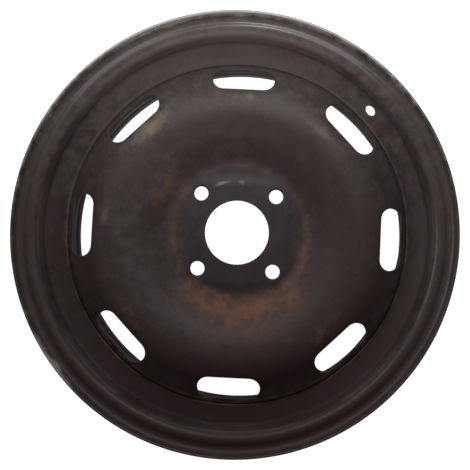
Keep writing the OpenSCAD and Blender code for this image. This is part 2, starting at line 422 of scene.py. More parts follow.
@dataclass(frozen=True)
class PaintedSteel:
    """Satin paint on pressed steel, mottled, rubbed through at its edges and rusty in places, with painted
    light and shade laid over it.
    """

    name: str
    deep: Colour = (0.040, 0.033, 0.032)
    pale: Colour = (0.060, 0.051, 0.049)
    stain: Colour = (0.052, 0.037, 0.035)
    violet: Colour = (0.052, 0.038, 0.048)
    olive: Colour = (0.047, 0.045, 0.036)
    fleck: Colour = (0.085, 0.074, 0.070)
    # Reddish dark colour of the painted shade.
    grime: Colour = (0.022, 0.008, 0.009)
    # Bluish dark colour: the plateau's tint, also laid as painted shade.
    soot: Colour = (0.024, 0.024, 0.029)
    rust_dark: Colour = (0.105, 0.060, 0.048)
    rust_light: Colour = (0.185, 0.092, 0.058)
    # Bright metal of rubbed edges, also used for painted highlights.
    bare: Colour = (0.170, 0.160, 0.152)
    # Pale colour for dusting, also laid as painted light.
    dust: Colour = (0.172, 0.142, 0.108)
    gloss: Span = (0.46, 0.60)
    shine: Span = (0.28, 0.12)
    coat: float = 0.0
    coat_gloss: float = 0.22
    grain_depth: float = 0.00025

    def make(self) -> bpy.types.Material:
        """Builds the material.

        Returns:
            Paint mottled by cloud patterns, then painted shade and a bluish tint with painted shade where the
            piece's masks put them, and rust, pale paint for dusting and painted light, and bright metal for
            rubbed edges and painted highlights where a mask and a finer pattern together pass a level. Painted
            shade also dulls the reflection, and roughness and bumps follow the patterns.
        """
        n = Nodes(self.name)
        place = n.put("TexCoord").outputs["Object"]
        broad = n.noise(place, 14.0, 3.0, 0.5)
        mottle = n.noise(place, 75.0, 6.0, 0.62)
        grain = n.noise(place, 420.0, 4.0, 0.6)
        peel = n.noise(place, 1100.0, 2.0, 0.5)
        paint = n.mix(n.ramp(mottle, 0.36, 0.66), self.deep, self.pale)
        paint = n.mix(n.ramp(broad, 0.45, 0.70, (0.0, 0.7)), paint, self.stain)
        tinge = n.noise(place, 42.0, 4.0, 0.6)
        paint = n.mix(n.ramp(tinge, 0.50, 0.70, (0.0, 0.55)), paint, self.violet)
        paint = n.mix(n.ramp(tinge, 0.30, 0.48, (0.55, 0.0)), paint, self.olive)
        paint = n.mix(n.ramp(grain, 0.50, 0.80, (0.0, 0.55)), paint, self.fleck)
        # Painted shade, broken up by the mottle, then the bluish tint and painted shade.
        caked = n.math("MULTIPLY", n.mask("grime"), n.ramp(mottle, 0.2, 0.6, (0.7, 1.0)))
        paint = n.mix(caked, paint, self.grime)
        paint = n.mix(n.mask("soot"), paint, self.soot)
        speckle = n.math("ADD", n.math("MULTIPLY", mottle, 0.90), n.math("MULTIPLY", grain, 0.30))
        drift = n.math("MULTIPLY", n.math("SUBTRACT", tinge, 0.5), 0.7)
        blotch = n.math("ADD", n.math("MULTIPLY", speckle, 0.6), drift)
        rust = n.ramp(n.math("ADD", n.mask("rust"), blotch), 0.42, 1.62)
        rust_tint = n.mix(n.ramp(mottle, 0.36, 0.62), self.rust_dark, self.rust_light)
        colour = n.mix(rust, paint, rust_tint)
        # Pale paint: dusting, and painted light.
        dust = n.ramp(n.math("ADD", n.mask("dust"), speckle), 0.85, 1.65)
        colour = n.mix(dust, colour, self.dust)
        # Bright metal: rubbed edges and chips, and painted highlights.
        wear = n.ramp(n.math("ADD", n.mask("wear"), speckle), 0.95, 1.50)
        colour = n.mix(wear, colour, self.bare)
        # The reflection is dulled where shade is painted.
        dull = n.math("MAXIMUM", n.mask("grime"), n.mask("soot"))
        shine = n.math("SUBTRACT", 1.0, n.mask("matt"))
        gloss = n.ramp(mottle, 0.30, 0.70, self.gloss)
        rough = n.math("ADD", gloss, n.math("MULTIPLY", n.math("MAXIMUM", rust, dust), 0.22))
        pitted = n.math("MULTIPLY", grain, n.ramp(rust, 0.0, 1.0, (0.4, 2.0)))
        relief = n.math("ADD", n.math("MULTIPLY", peel, 0.5), pitted)
        bump = n.put("Bump", {"Strength": 0.35, "Distance": self.grain_depth, "Height": relief}).outputs[0]
        inputs = {
            "Base Color": colour,
            "Roughness": rough,
            "Normal": bump,
            "Specular IOR Level": n.math("MULTIPLY", n.ramp(dull, 0.0, 1.0, self.shine), shine),
            "Coat Weight": n.math("MULTIPLY", n.ramp(dull, 0.0, 0.5, (self.coat, 0.0)), shine),
            "Coat Roughness": self.coat_gloss,
        }
        steel = n.put("BsdfPrincipled", inputs)
        # The level for an export that drops this socket's link.
        steel.inputs["Specular IOR Level"].default_value = self.shine[0]
        n.put("OutputMaterial", {"Surface": steel.outputs[0]})
        return n.material


# The rim's pale colour is a neutral grey laid as painted light, and its bright metal is lighter for the
# painted highlight on the upper edge.
RIM_PAINT = PaintedSteel("rim_paint", bare=(0.300, 0.285, 0.275), dust=(0.105, 0.091, 0.088), coat=0.40)
DISC_PAINT = PaintedSteel("disc_paint")
WELD_PAINT = PaintedSteel("weld_paint")


@dataclass(frozen=True)
class StudioFloor:
    """Pale floor that glows like a light table, so that the wheel's holes show bright."""

    name: str = "pale_floor"
    tint: Colour = (0.86, 0.86, 0.86)
    glow: float = 1.0
    spill: float = 0.24

    def make(self) -> bpy.types.Material:
        """Builds the material.

        Returns:
            A matt floor that looks white to the camera but throws only a little light on the wheel.
        """
        n = Nodes(self.name)
        seen = n.put("LightPath").outputs["Is Camera Ray"]
        inputs = {
            "Base Color": (*self.tint, 1.0),
            "Roughness": 0.9,
            "Emission Color": (1.0, 1.0, 1.0, 1.0),
            "Emission Strength": n.ramp(seen, 0.0, 1.0, (self.spill, self.glow)),
        }
        n.put("OutputMaterial", {"Surface": n.put("BsdfPrincipled", inputs).outputs[0]})
        return n.material


def place_on_wheel(piece: Piece, node: str, finish: PaintedSteel) -> None:
    """Gives a finished piece its material and its body, and hides the node that it stands for.

    Args:
        piece: The piece.
        node: The CAD node that it replaces.
        finish: What it is painted with.
    """
    piece.data.materials.append(finish.make())
    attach(piece, "root")
    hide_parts(node)
    log.info("%s: %d faces", piece.name, len(piece.data.polygons))


# The wheel's pieces


@dataclass(frozen=True)
class RimWeather:
    """Where the rim has rust and rubbed edges, where light and shade are painted on it, and how strongly.

    Insets run from the flanges' tip towards the axis, depths down from the outboard flange and lifts up
    from the inboard one, in millimetres. A pair is a place and the width over which the mask fades or
    rises there. The numbers after the places are strengths from 0 to 1.
    """

    front_depth: float = 60.0
    edge_depth: float = 11.0
    edge_inset: float = 5.8
    seam_inset: Span = (36.5, 1.7)
    seam_depth: Span = (52.0, 9.0)
    wall_inset: Span = (19.9, 1.0)
    wall_rise: Span = (-42.0, 8.0)
    shelf_inset: Span = (14.0, 4.0)
    slope_inset: Span = (20.5, 2.5)
    groove_inset: Span = (11.0, 7.0)
    worn_foot_lift: float = 1.6
    rust_foot_lift: float = 6.0
    inside_gain: float = 1.4
    worn_edge: float = 0.22
    # Painted highlight along the upper side's edge.
    worn_high: float = 0.85
    worn_chips: float = 0.70
    worn_foot: float = 0.32
    rust_seam: float = 0.22
    rust_foot: float = 0.25
    # Painted light: pale paint high in the channel, on the lower wall and in the seam, where it lifts the
    # seam's shade.
    dust_high: float = 0.92
    dust_wall: float = 0.50
    dust_seam: float = 0.75
    dust_seam_low: float = 0.25
    # Painted shade low in the channel and inside.
    grime_slope: float = 0.84
    grime_groove: float = 0.82
    grime_inside: float = 0.45
    grime_inside_low: float = 0.45
    # Bluish painted shade inside.
    soot_inside: float = 0.25
    matt_inside: float = 0.90


@dataclass
class Rim:
    """The rolled strip: two curled flanges, bead seats with humps, and a drop-centre well."""

    tip_radius: float
    top: float
    bottom: float
    valve_radius: float
    valve_angle: float
    sheet: float = 2.6
    flange_height: float = 17.3
    flange_reach: float = 12.0
    curl_radius: float = 9.5
    heel_radius: float = 6.5
    flange_lean: float = 10.0
    seat_taper: float = 5.0
    seat_width: float = 17.0
    hump_reach: float = 23.5
    hump_height: float = 1.4
    well_depth: float = 17.3
    well_reach: float = 45.2
    well_width: float = 24.0
    toe_bend: float = 12.0
    hump_bend: float = 9.0
    well_bend: float = 9.0
    ramp_bend: float = 16.0
    valve_share: float = 0.46
    turn_count: int = 288
    bend_step_deg: float = 5.0
    leg: float = 8.0
    slope_leg: int = 4
    slope_rows: int = 10
    valve_columns: int = 3
    valve_rings: int = 6
    edge_points: int = 9
    sharp_deg: float = 50.0

    @classmethod
    def from_frame(cls, mounts: dict[str, dict[str, Any]]) -> Rim:
        """Takes the sizes that the frame has.

        Args:
            mounts: The record's mounts, by name.

        Returns:
            The rim, with its overall size from the solid's box and the valve hole from its mount.
        """
        low, high = (np.array(corner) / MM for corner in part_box("rim"))
        valve = mounts["valve_hole"]
        angle = math.atan2(valve["pos_m"][1], valve["pos_m"][0])
        return cls(high[0], high[2], low[2], valve["dims"]["r_mm"], angle)

    def flange_route(self, wall: float, way: int) -> Array:
        """One flange and bead seat, mid-strip, from the flange's tip to the hump.

        Args:
            wall: Height at which the flange wall stands.
            way: +1 outboard, -1 inboard.

        Returns:
            Rows of r, z and bend radius.
        """
        half = self.sheet / 2.0
        bead = self.tip_radius - self.flange_height
        lean = self.flange_height / 2.0 * math.tan(math.radians(self.flange_lean))
        foot = bead - half - self.seat_width * math.tan(math.radians(self.seat_taper))
        return np.array(
            [
                [self.tip_radius - half, wall + way * (self.flange_reach - half), 0.0],
                [self.tip_radius - half, wall + way * (half - lean), self.curl_radius - half],
                [bead - half, wall + way * (half + lean), self.heel_radius + half],
                [foot, wall - way * self.seat_width, self.toe_bend],
                [foot + self.hump_height, wall - way * self.hump_reach, self.hump_bend],
            ]
        )

    def route(self) -> Array:
        """The whole strip's section.

        Returns:
            Rows of r, z and bend radius, mid-sheet, from the outboard tip to the inboard tip.
        """
        wall_out, wall_in = self.top - self.flange_reach, self.bottom + self.flange_reach
        floor_r = self.tip_radius - self.flange_height - self.well_depth - self.sheet / 2.0
        well_z = wall_out - self.well_reach
        well = [[floor_r, well_z, self.well_bend], [floor_r, well_z - self.well_width, self.ramp_bend]]
        return np.vstack((self.flange_route(wall_out, 1), well, self.flange_route(wall_in, -1)[::-1]))

    def add_side(self, quilt: Quilt, offset: float) -> Array:
        """Adds one side of the strip, with the valve hole opened in it.

        Args:
            quilt: Where the grids go.
            offset: Distance of this side from mid-sheet, to the tyre's side if positive.

        Returns:
            The points of the hole's edge on this side, as one row of a grid.
        """
        route = self.route()
        angles = full_turn(self.turn_count)
        step = math.radians(self.bend_step_deg)
        points, legs = trace(beside(route, offset), step, self.leg, {self.slope_leg: self.slope_rows})
        slope = points[legs[self.slope_leg]]
        middle = round(self.valve_angle / angles[1])
        columns = np.arange(middle - self.valve_columns, middle + self.valve_columns + 1)
        keep = np.ones((len(points) - 1, self.turn_count), bool)
        keep[legs[self.slope_leg].start : legs[self.slope_leg].stop - 1, columns[:-1]] = False
        quilt.add(revolved(points, angles), closed=True, keep=keep)
        along = unit(slope[-1] - slope[0])
        top, foot = route[self.slope_leg, :2], route[self.slope_leg + 1, :2]
        centre = top + (foot - top) * self.valve_share
        reach = float((centre - slope[0]) @ along)
        rows = (slope - slope[0]) @ along - reach
        loop = frame_loop(rows, angles[columns] - self.valve_angle) * np.array([1.0, centre[0]])
        share = np.linspace(0.0, 1.0, self.valve_rings)[:, None, None]
        local = loop + (unit(loop) * self.valve_radius - loop) * share
        spot = slope[0] + along * (local[..., :1] + reach)
        turn = self.valve_angle + local[..., 1] / centre[0]
        grid = np.stack((spot[..., 0] * np.cos(turn), spot[..., 0] * np.sin(turn), spot[..., 1]), axis=-1)
        quilt.add(grid, closed=True)
        return grid[-1]

    def build(self) -> Piece:
        """Builds the strip.

        Returns:
            One piece: the two sides, the full-round edges of the flanges and the valve hole's wall.
        """
        quilt, half = Quilt(), self.sheet / 2.0
        angles = full_turn(self.turn_count)
        quilt.add(np.stack((self.add_side(quilt, half), self.add_side(quilt, -half))), closed=True)
        route = self.route()
        for tip, half_turn in ((route[0, :2], math.pi), (route[-1, :2], -math.pi)):
            turn = np.linspace(0.0, half_turn, self.edge_points)
            edge = tip + half * np.stack((np.cos(turn), np.sin(turn)), axis=-1)
            quilt.add(revolved(edge, angles), closed=True)
        return quilt.make("rim_strip", self.sharp_deg)

    def dress(self, piece: Piece, weather: RimWeather) -> None:
        """Gives the strip its masks of rubbing and rust, and of painted light and shade.

        The flanges' edges are rubbed and chipped, with a painted highlight along the upper side. Pale paint
        lies as painted light high in the channel beside the disc, low on its wall and in the seam, where it
        lifts the seam's shade; painted shade lies low in the channel and inside, where the slots show it, with
        the reflection dulled.

        Args:
            piece: The strip.
            weather: Where these lie and how strong they are.
        """
        x, y, z = mesh_points(piece).T
        r, angle = np.hypot(x, y), np.arctan2(y, x)
        inset, depth, lift = self.tip_radius - r, self.top - z, z - self.bottom
        high, low, chips = (towards(angle, *zone) for zone in (UPPER_SIDE, LOWER_SIDE, CHIPPED_SIDE))
        front = 1.0 * (z > self.top - weather.front_depth)
        edge = bell(depth, weather.edge_depth) * bell(inset, weather.edge_inset)
        seam = around(inset, *weather.seam_inset) * around(depth, *weather.seam_depth)
        wall = around(inset, *weather.wall_inset) * rising(-depth, *weather.wall_rise)
        shelf, slope = rising(inset, *weather.shelf_inset), rising(inset, *weather.slope_inset)
        groove = around(inset, *weather.groove_inset)
        inward = clamp(-FACE_SHARPNESS * outward_share(piece, angle))
        inside = inward * (1.0 - front) * clamp(weather.inside_gain * (1.0 - high))
        # Rubbed and chipped edges, with a painted highlight along the upper side.
        worn = weather.worn_edge + weather.worn_high * high + weather.worn_chips * chips
        # Pale paint in the seam as painted light that lifts its shade, more on the lower side.
        dusty_seam = weather.dust_seam + weather.dust_seam_low * low
        # Painted shade low in the channel.
        grimy = weather.grime_slope * slope + weather.grime_groove * groove
        # Pale paint as painted light high and low in the channel; painted shade low in the channel and inside.
        paint_masks(
            piece,
            wear=worn * edge + weather.worn_foot * bell(lift, weather.worn_foot_lift),
            rust=weather.rust_seam * seam + weather.rust_foot * bell(lift, weather.rust_foot_lift),
            dust=weather.dust_high * high * front * shelf + weather.dust_wall * low * wall + dusty_seam * seam,
            grime=grimy * low * front + inside * (weather.grime_inside + weather.grime_inside_low * low),
            soot=weather.soot_inside * inside,
            matt=weather.matt_inside * inside * towards(angle, *DARK_SLOTS),
        )


@dataclass(frozen=True)
class Patch:
    """An area of the disc for one of its masks, which lay rust, dusting, rubbing and painted light and shade:
    where it lies, how far it spreads and how strong it is.
    """

    angle_deg: float
    radius: float
    spread_deg: float
    width: float
    strength: float

    def mask(self, r: Array, angle: Array) -> Array:
        """Bell curve round the axis times bell curve along the radius."""
        spread = towards(angle, self.angle_deg, self.spread_deg)
        return self.strength * spread * around(r, self.radius, self.width)


@dataclass(frozen=True)
class Weather:
    """Where the disc has rust, dusting and rubbed spots, and where light and shade are painted on it.

    The patches lie on its front. The widths are millimetres, and the other numbers strengths from 0 to 1.
    """

    rust: tuple[Patch, ...] = (
        Patch(-95.0, 76.0, 40.0, 14.0, 0.95),
        Patch(-52.0, 85.0, 24.0, 13.0, 0.58),
        Patch(-115.0, 71.0, 24.0, 9.0, 0.45),
        Patch(-80.0, 98.0, 26.0, 13.0, 0.42),
        Patch(-112.0, 94.0, 16.0, 10.0, 0.25),
        Patch(-170.0, 65.5, 58.0, 4.5, 0.50),
        Patch(-14.0, 71.0, 42.0, 6.0, 0.68),
        Patch(85.0, 68.0, 55.0, 4.0, 0.24),
        Patch(147.0, 87.0, 18.0, 10.0, 0.52),
    )
    # Partly dusting and partly painted light: dusting with painted highlights by the upper slots, painted
    # light over the upper crown and by the lower slots, and painted light lifting the seam's shade low down.
    dust: tuple[Patch, ...] = (
        Patch(133.5, 131.5, 11.0, 8.0, 0.66),
        Patch(89.0, 133.5, 7.0, 5.0, 0.36),
        Patch(53.0, 129.0, 9.0, 7.0, 0.50),
        Patch(177.7, 129.0, 6.0, 5.5, 0.58),
        Patch(40.0, 150.0, 45.0, 18.0, 0.12),
        Patch(95.0, 138.0, 75.0, 10.0, 0.17),
        Patch(95.0, 156.0, 80.0, 12.0, 0.20),
        Patch(145.0, 148.0, 30.0, 14.0, 0.20),
        Patch(-137.0, 129.0, 14.0, 9.0, 0.44),
        Patch(-47.0, 127.0, 14.0, 9.0, 0.47),
        Patch(-90.0, 168.0, 85.0, 4.0, 0.52),
    )
    # A painted highlight on the plateau's upper flats, laid as bright metal.
    wear: tuple[Patch, ...] = (
        Patch(108.5, 52.5, 13.0, 2.8, 0.85),
        Patch(87.0, 51.5, 5.0, 4.2, 0.75),
    )
    # A bluish tint over the plateau, then painted shade along the lower and upper edges of its rise.
    soot: tuple[Patch, ...] = (
        Patch(0.0, 44.0, 900.0, 17.0, 0.50),
        Patch(-91.0, 57.5, 36.0, 4.5, 0.50),
        Patch(95.0, 65.0, 62.0, 7.0, 0.42),
    )
    # Painted shade: the lower crown and slope, the upper crown, the bowl and the plateau's upper edge.
    grime: tuple[Patch, ...] = (
        Patch(-85.0, 147.0, 66.0, 18.0, 0.74),
        Patch(-92.0, 126.0, 48.0, 12.0, 0.30),
        Patch(80.0, 113.0, 80.0, 11.0, 0.48),
        Patch(25.0, 90.0, 65.0, 22.0, 0.36),
        Patch(100.0, 66.0, 75.0, 6.0, 0.26),
    )
    shoulder_width: float = 12.0
    inside_width: float = 25.0
    opening_width: float = 1.0
    bore_width: float = 0.8
    seam_power: int = 5
    worn_openings: float = 0.18
    worn_bore: float = 0.25
    rust_behind: float = 0.28
    # Painted light in the seam, and painted shade inside below the top.
    dust_seam: float = 0.90
    grime_inside: float = 0.60
    soot_inside: float = 0.25
    matt_inside: float = 0.90

    @staticmethod
    def total(patches: Iterable[Patch], r: Array, angle: Array) -> Array:
        """The sum of the patches' masks."""
        return sum(patch.mask(r, angle) for patch in patches)


@dataclass(frozen=True)
class Hole:
    """An opening punched along the axis: a circle, or a slot along the edge if it has a straight part."""

    distance: float
    angle: float
    half_straight: float
    radius: float

    def local(self, r: Array, angle: Array) -> Array:
        """Place relative to the opening's middle: outwards from the axis, and across."""
        turned = angle - self.angle
        return np.stack((r * np.cos(turned) - self.distance, r * np.sin(turned)), axis=-1)

    def spine(self, place: Array) -> Array:
        """Nearest point of the opening's middle line."""
        across = np.clip(place[..., 1], -self.half_straight, self.half_straight)
        return np.stack((0.0 * across, across), axis=-1)

    def outline(self, place: Array, extra: float) -> Array:
        """Nearest point of the outline, widened by extra: middle line plus radius along the direction."""
        spine = self.spine(place)
        return spine + unit(place - spine) * (self.radius + extra)

    def plan(self, place: Array) -> tuple[Array, Array]:
        """The wheel's x and y of places relative to the opening."""
        r, across = place[..., 0] + self.distance, place[..., 1]
        c, s = math.cos(self.angle), math.sin(self.angle)
        return r * c - across * s, r * s + across * c

    def gap(self, x: Array, y: Array) -> Array:
        """Distance from the outline in plan, positive outside."""
        place = self.local(np.hypot(x, y), np.arctan2(y, x))
        return np.linalg.norm(place - self.spine(place), axis=-1) - self.radius


@dataclass
class Disc:
    """The pressed sheet: plateau with bolt holes, bowl, crown, slots with flats, and skirt."""

    skirt_radius: float
    skirt_foot: float
    bore_radius: float
    bolt_radius: float
    bolt_circle: float
    bolt_count: int
    sheet: float = 4.0
    bore_break: float = 0.6
    bolt_seat_depth: float = 1.4
    bolt_seat_angle: float = 30.0
    plateau_margin: float = 8.5
    flat_inset: float = 4.0
    plateau_rise: float = 1.7
    flat_slope: float = 12.0
    plateau_slope: float = 30.0
    land_width: float = 11.5
    crown_inset: float = 52.5
    crown_radius: float = 50.0
    crown_fall: float = 26.6
    bowl_radius: float = 14.0
    edge_radius: float = 6.0
    edge_above_foot: float = 20.1
    slot_count: int = 8
    slot_length: float = 62.0
    slot_width: float = 22.4
    slot_inset: float = 5.6
    facet_tilt: float = 30.0
    facet_sink: float = 1.9
    arch_height: float = 9.0
    arch_half_angle: float = 14.0
    facet_blend: float = 1.6
    plateau_blend: float = 1.2
    slot_roll: float = 0.9
    turn_count: int = 384
    bolt_columns: int = 15
    slot_columns: int = 16
    collar_rings: int = 9
    skirt_rows: int = 6
    flat_blend: float = 0.5
    bend_step_deg: float = 2.0
    leg: float = 4.0
    bolt_block: float = 12.5
    slot_block: float = 134.0
    front_margin: float = 3.25
    back_margin: float = 0.05
    ring_counts: tuple[int, int, int, int] = (6, 14, 34, 20)
    margin_rings: int = 9
    back_roll: float = 0.3
    roll_steps: int = 5
    seat_break: tuple[Span, ...] = ((0.35, 0.0), (0.1, 0.08), (0.0, 0.3))
    sharp_deg: float = 42.0

    @classmethod
    def from_frame(cls, mounts: dict[str, dict[str, Any]]) -> Disc:
        """Takes the sizes that the frame has.

        Args:
            mounts: The record's mounts, by name.

        Returns:
            The disc, with its overall size from the solid's box and the hub's sizes from the mounts.
        """
        low, high = (np.array(corner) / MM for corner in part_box("disc"))
        bolts, bore = mounts["hub_bolts"]["dims"], mounts["centre_bore"]["dims"]
        return cls(high[0], low[2], bore["r_mm"], bolts["hole_r_mm"], bolts["pcd_mm"] / 2.0, bolts["count"])

    def __post_init__(self) -> None:
        """Works out the sizes that follow from the others."""
        half = self.sheet / 2.0
        fall = math.tan(math.radians(self.crown_fall))
        self.edge_z = self.skirt_foot + self.edge_above_foot
        self.crown_r = self.skirt_radius - self.crown_inset
        self.crown_z = self.edge_z + (self.crown_inset - half) * fall
        self.slot_r = self.skirt_radius - self.slot_inset - self.slot_width / 2.0
        self.plateau_radius = self.bolt_circle + self.plateau_margin
        self.plateau_z = self.plateau_rise + self.sheet
        over = half / math.cos(math.radians(self.crown_fall))
        self.facet_z = self.crown_z - (self.slot_r - self.crown_r) * fall + over - self.facet_sink
        land = self.plateau_radius + self.land_width
        outer = self.skirt_radius - half
        self.route = np.array(
            [
                [0.0, half, 0.0],
                [land, half, self.bowl_radius],
                [self.crown_r, self.crown_z, self.crown_radius],
                [outer, self.edge_z, self.edge_radius],
                [outer, self.skirt_foot, 0.0],
            ]
        )
        self.profiles = {side: self.pressed_profile(side) for side in Side}

    def pressed_profile(self, side: Side) -> Array:
        """One face's section from the axis to the top of the skirt, as r, z points."""
        face = beside(self.route, side.value * self.sheet / 2.0)
        points, legs = trace(face, math.radians(self.bend_step_deg), self.leg)
        return points[: legs[-1].start + 1]

    def facet_height(self, x: Array, y: Array, side: Side) -> Array:
        """Height of the tilted flat of the nearest slot.

        Args:
            x: Wheel x of each place.
            y: Wheel y of each place.
            side: Which face.

        Returns:
            A plane that falls outwards with its tilt.
        """
        turned = within_sector(x, y, self.slot_count)
        out = np.hypot(x, y) * np.cos(turned) - self.slot_r
        tilt = math.radians(self.facet_tilt)
        below = 0.0 if side is Side.FRONT else self.sheet / math.cos(tilt)
        return self.facet_z - out * math.tan(tilt) - below

    def plateau_height(self, x: Array, y: Array, side: Side) -> Array:
        """Height of the raised centre.

        Args:
            x: Wheel x of each place.
            y: Wheel y of each place.
            side: Which face.

        Returns:
            The lowest of a flat top, sloping flats between the bolts and a round edge.
        """
        r = np.hypot(x, y)
        turned = within_sector(x, y, self.bolt_count)
        top = self.plateau_z - (0.0 if side is Side.FRONT else self.sheet) + 0.0 * r
        out = r * np.cos(turned) - (self.bolt_circle - self.flat_inset)
        flats = top - out * math.tan(math.radians(self.flat_slope))
        rounds = top - (r - self.plateau_radius) * math.tan(math.radians(self.plateau_slope))
        return soft_min(soft_min(top, flats, self.flat_blend), rounds, self.plateau_blend)

    def height(self, x: Array, y: Array, side: Side) -> Array:
        """Height of one face over the wheel's plan.

        Args:
            x: Wheel x of each place.
            y: Wheel y of each place.
            side: Which face.

        Returns:
            The pressed section at that radius, cut down by the slots' flats, raised by the plateau.
        """
        profile = self.profiles[side]
        pressed = np.interp(np.hypot(x, y), profile[:, 0], profile[:, 1])
        pressed = soft_min(pressed, self.facet_height(x, y, side), self.facet_blend)
        return soft_max(pressed, self.plateau_height(x, y, side), self.plateau_blend)

    def surface(self, x: Array, y: Array, side: Side, drop: float = 0.0) -> Array:
        """Points of one face over places in plan, sunk into the sheet by drop."""
        return np.stack((x, y, self.height(x, y, side) - side.value * drop), axis=-1)

    def holes(self) -> list[tuple[Hole, int]]:
        """The bolt holes and slots.

        Returns:
            Each opening, with the number of columns that its block takes up each way.
        """
        bolts = (np.arange(self.bolt_count) + 0.5) * (2.0 * math.pi / self.bolt_count)
        slots = np.arange(self.slot_count) * (2.0 * math.pi / self.slot_count)
        straight = (self.slot_length - self.slot_width) / 2.0
        found = [(Hole(self.bolt_circle, a, 0.0, self.bolt_radius), self.bolt_columns) for a in bolts]
        found += [(Hole(self.slot_r, a, straight, self.slot_width / 2.0), self.slot_columns) for a in slots]
        return found

    def ring_radii(self, side: Side) -> tuple[Array, slice, slice]:
        """Radii of the rings of one face.

        Args:
            side: Which face.

        Returns:
            The radii, and the slices of them that the blocks round bolt holes and slots take up.
        """
        end = self.profiles[side][-1, 0]
        outer = end - (self.front_margin if side is Side.FRONT else self.back_margin)
        inner = self.bore_radius + (self.bore_break if side is Side.FRONT else 0.0)
        bolts = (self.bolt_circle - self.bolt_block, self.bolt_circle + self.bolt_block)
        marks, counts = (inner, *bolts, self.slot_block, outer), self.ring_counts
        rings = [np.linspace(a, b, n, endpoint=False) for a, b, n in zip(marks, marks[1:], counts)]
        rings.append(outer + (end - outer) * np.sin(np.linspace(0.0, math.pi / 2.0, self.margin_rings)))
        first, second, third = np.cumsum(counts)[:3]
        return np.concatenate(rings), slice(first, second + 1), slice(third, third + counts[3] + 1)

    def edge_steps(self, hole: Hole, side: Side) -> Iterable[tuple[float, float]]:
        """How an opening's edge turns into its wall.

        Args:
            hole: The opening.
            side: Which face.

        Returns:
            Pairs of widening and drop: a quarter-round at a slot, a small break and a cone at a bolt hole.
        """
        if hole.half_straight:
            roll = self.slot_roll if side is Side.FRONT else self.back_roll
            turn = np.linspace(0.0, math.pi / 2.0, self.roll_steps)
            return zip(roll * (1.0 - np.sin(turn)), roll * (1.0 - np.cos(turn)))
        if side is Side.BACK:
            return ((self.back_roll, 0.0), (0.0, self.back_roll))
        flare = self.bolt_seat_depth * math.tan(math.radians(self.bolt_seat_angle))
        return [(flare + wide, drop) for wide, drop in self.seat_break] + [(0.0, self.bolt_seat_depth)]

    def add_face(self, quilt: Quilt, side: Side) -> list[Array]:
        """Adds one face with its openings.

        Args:
            quilt: Where the grids go.
            side: Which face.

        Returns:
            For each opening, the points of its edge as one row of a grid.
        """
        radii, bolt_rows, slot_rows = self.ring_radii(side)
        angles = full_turn(self.turn_count)
        keep = np.ones((len(radii) - 1, self.turn_count), bool)
        share = np.linspace(0.0, 1.0, self.collar_rings)[:, None, None]
        edges = []
        for hole, reach in self.holes():
            rows = slot_rows if hole.half_straight else bolt_rows
            middle = round(hole.angle / angles[1])
            columns = np.arange(middle - reach, middle + reach + 1)
            keep[rows.start : rows.stop - 1, columns[:-1] % self.turn_count] = False
            loop = frame_loop(radii[rows], columns * angles[1])
            place = hole.local(loop[:, 0], loop[:, 1])
            steps = list(self.edge_steps(hole, side))
            collar = place + (hole.outline(place, steps[0][0]) - place) * share
            quilt.add(self.surface(*hole.plan(collar), side), closed=True)
            lip = [self.surface(*hole.plan(hole.outline(place, wide)), side, drop) for wide, drop in steps]
            quilt.add(np.stack(lip), closed=True)
            edges.append(lip[-1])
        plan = radii[:, None] * np.cos(angles), radii[:, None] * np.sin(angles)
        quilt.add(self.surface(*plan, side), closed=True, keep=keep)
        return edges

    def skirt_edge(self, x: Array, y: Array) -> Array:
        """Height of the skirt's lower edge: level, with an arch behind each slot.

        Args:
            x: Wheel x of each place.
            y: Wheel y of each place.

        Returns:
            The larger of the level foot and a circle through the arch's crown and feet.
        """
        turned = within_sector(x, y, self.slot_count)
        span = self.skirt_radius * math.sin(math.radians(self.arch_half_angle))
        radius = (span**2 + self.arch_height**2) / (2.0 * self.arch_height)
        across = np.hypot(x, y) * np.sin(turned)
        arch = self.skirt_foot + self.arch_height - radius + np.sqrt(np.maximum(radius**2 - across**2, 0.0))
        return np.maximum(arch, self.skirt_foot)

    def add_skirt(self, quilt: Quilt) -> None:
        """Adds the skirt's two sides and its lower edge, and the wall of the centre hole.

        Args:
            quilt: Where the grids go.
        """
        angles = full_turn(self.turn_count)
        share = np.linspace(0.0, 1.0, self.skirt_rows)[:, None]
        feet = []
        for side in Side:
            radius = self.profiles[side][-1, 0]
            x, y = radius * np.cos(angles), radius * np.sin(angles)
            top, foot = self.height(x, y, side), self.skirt_edge(x, y)
            wall = top + (foot - top) * share
            quilt.add(np.stack((x + 0.0 * wall, y + 0.0 * wall, wall), axis=-1), closed=True)
            feet.append(np.stack((x, y, foot), axis=-1))
        quilt.add(np.stack(feet), closed=True)
        wide, bore = self.bore_radius + self.bore_break, self.bore_radius
        rings = ((wide, Side.FRONT, 0.0), (bore, Side.FRONT, self.bore_break), (bore, Side.BACK, 0.0))
        walls = [self.surface(r * np.cos(angles), r * np.sin(angles), side, drop) for r, side, drop in rings]
        quilt.add(np.stack(walls), closed=True)

    def build(self) -> Piece:
        """Builds the sheet.

        Returns:
            One piece: the two faces, the walls of the openings, the skirt and the centre hole.
        """
        quilt = Quilt()
        front, back = (self.add_face(quilt, side) for side in Side)
        for upper, lower in zip(front, back):
            quilt.add(np.stack((upper, lower)), closed=True)
        self.add_skirt(quilt)
        return quilt.make("pressed_disc", self.sharp_deg)

